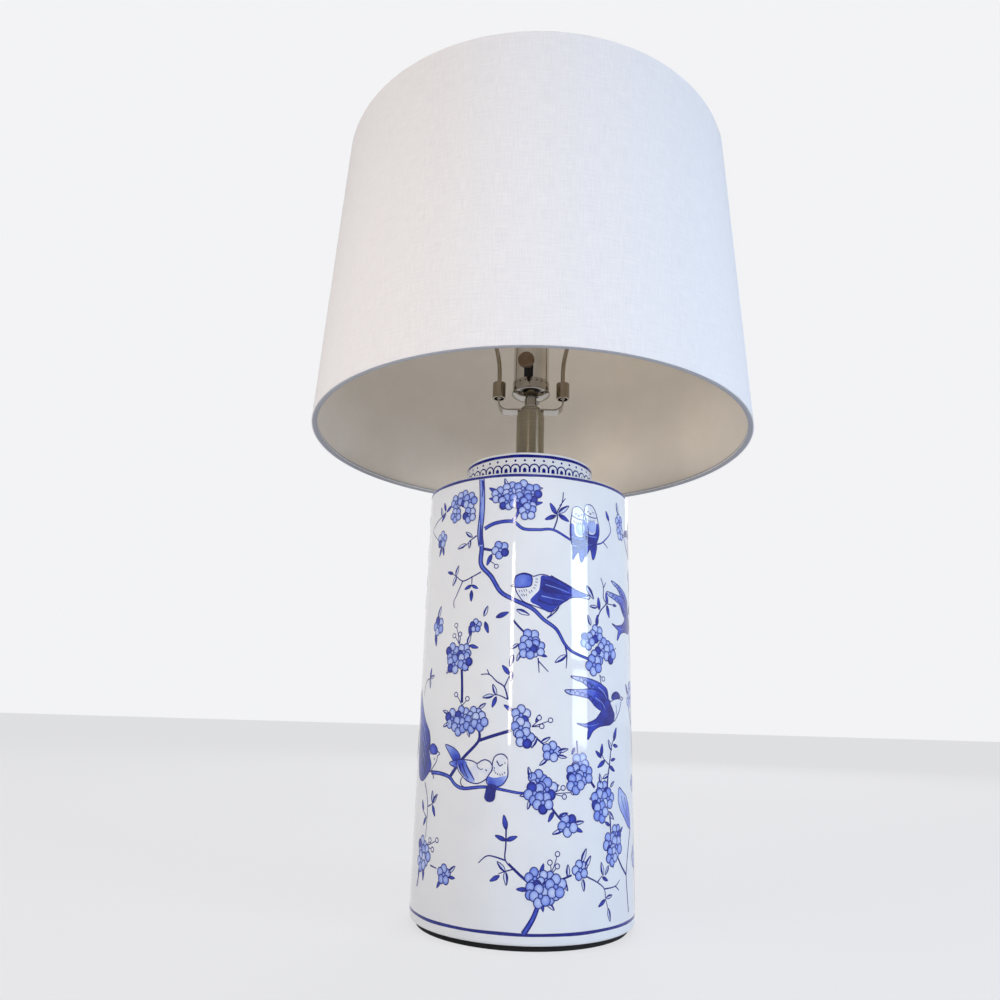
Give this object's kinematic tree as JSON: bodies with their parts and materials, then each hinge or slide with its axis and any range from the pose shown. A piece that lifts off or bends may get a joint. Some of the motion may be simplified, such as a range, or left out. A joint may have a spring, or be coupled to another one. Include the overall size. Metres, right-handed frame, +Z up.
{
  "type": "table lamp",
  "caption": "Table lamp with a straight glazed porcelain canister body, metal neck tube, turn-knob socket with bulb, and a tapered drum shade held by a harp and finial.",
  "frame": {"origin": "centre of the pad's underside, where the lamp stands", "axes": "+Z up along the neck, front of the lamp towards -Y, harp in the XZ plane, cord inlet towards +Y"},
  "size_m": [0.4007, 0.4008, 0.7014],
  "materials": {
    "porcelain": "glossy white glaze with cobalt blue painting",
    "dark_felt": "matt black felt",
    "black_rubber": "matt",
    "plated_steel": "zinc plated",
    "satin_nickel": "satin nickel",
    "harp_nickel": "satin nickel",
    "knob_nickel": "satin nickel",
    "bright_nickel": "polished nickel",
    "black_fibre": "black vulcanised fibre",
    "switch_plastic": "moulded phenolic",
    "brass": "plain",
    "bulb_metal": "bright",
    "bulb_black_glass": "gloss",
    "bulb_white_plastic": "satin white",
    "bulb_opal": "frosted white",
    "linen": "plain woven white linen",
    "shade_lining": "satin warm white styrene",
    "frame_wire": "white powder coat"
  },
  "bodies": {
    "lamp_base": {"porcelain_body": "porcelain", "base_pad": "dark_felt", "cord_grommet": "black_rubber", "lamp_pipe": "plated_steel", "floor_gasket": "black_rubber", "clamp_washer": "plated_steel", "clamp_nut": "plated_steel", "neck_seat_ring": "satin_nickel", "neck_tube": "satin_nickel", "neck_cap_ring": "satin_nickel", "harp_saddle": "harp_nickel", "saddle_nut": "satin_nickel", "lock_washer": "plated_steel", "socket_cap": "bright_nickel", "hub_screw": "plated_steel", "socket_shell": "bright_nickel", "socket_liner": "black_fibre", "switch_block": "switch_plastic", "terminal_screws": "brass", "screw_sleeve": "brass", "centre_contact": "brass"},
    "switch_knob": {"turn_knob": "knob_nickel", "switch_shaft": "brass"},
    "harp": {"harp_wire": "harp_nickel", "harp_stud": "harp_nickel"},
    "left_ferrule_body": {"left_ferrule": "harp_nickel"},
    "right_ferrule_body": {"right_ferrule": "harp_nickel"},
    "shade": {"shade_fabric": "linen", "shade_liner": "shade_lining", "shade_bottom_ring": "frame_wire", "shade_top_ring": "frame_wire", "shade_bottom_hem": "linen", "shade_top_hem": "linen", "spider_arms": "frame_wire", "spider_washer": "frame_wire"},
    "finial_body": {"finial": "satin_nickel"},
    "bulb": {"bulb_screw_cap": "bulb_metal", "bulb_insulator": "bulb_black_glass", "bulb_tip": "bulb_metal", "bulb_housing": "bulb_white_plastic", "bulb_board": "bulb_metal", "bulb_globe": "bulb_opal"}
  },
  "joints": [
    {"name": "switch_turn", "type": "hinge", "parent": "lamp_base", "child": "switch_knob", "pos_m": [-0.00391, -0.02469, 0.4744], "axis": [-0.1564, -0.9877, 0], "continuous": true},
    {"name": "harp_lift", "type": "slide", "parent": "lamp_base", "child": "harp", "axis": [0, 0, 1], "range_m": [0, 0.016]},
    {"name": "left_ferrule_slide", "type": "slide", "parent": "harp", "child": "left_ferrule_body", "axis": [0, 0, 1], "range_m": [0, 0.009]},
    {"name": "right_ferrule_slide", "type": "slide", "parent": "harp", "child": "right_ferrule_body", "axis": [0, 0, 1], "range_m": [0, 0.009]},
    {"name": "shade_turn", "type": "hinge", "parent": "harp", "child": "shade", "pos_m": [0, 0, 0.6782], "axis": [0, 0, 1], "continuous": true},
    {"name": "finial_unscrew", "type": "slide", "parent": "harp", "child": "finial_body", "axis": [0, 0, 1], "range_m": [0, 0.012]},
    {"name": "bulb_unscrew", "type": "slide", "parent": "lamp_base", "child": "bulb", "axis": [0, 0, 1], "range_m": [0, 0.026]}
  ]
}
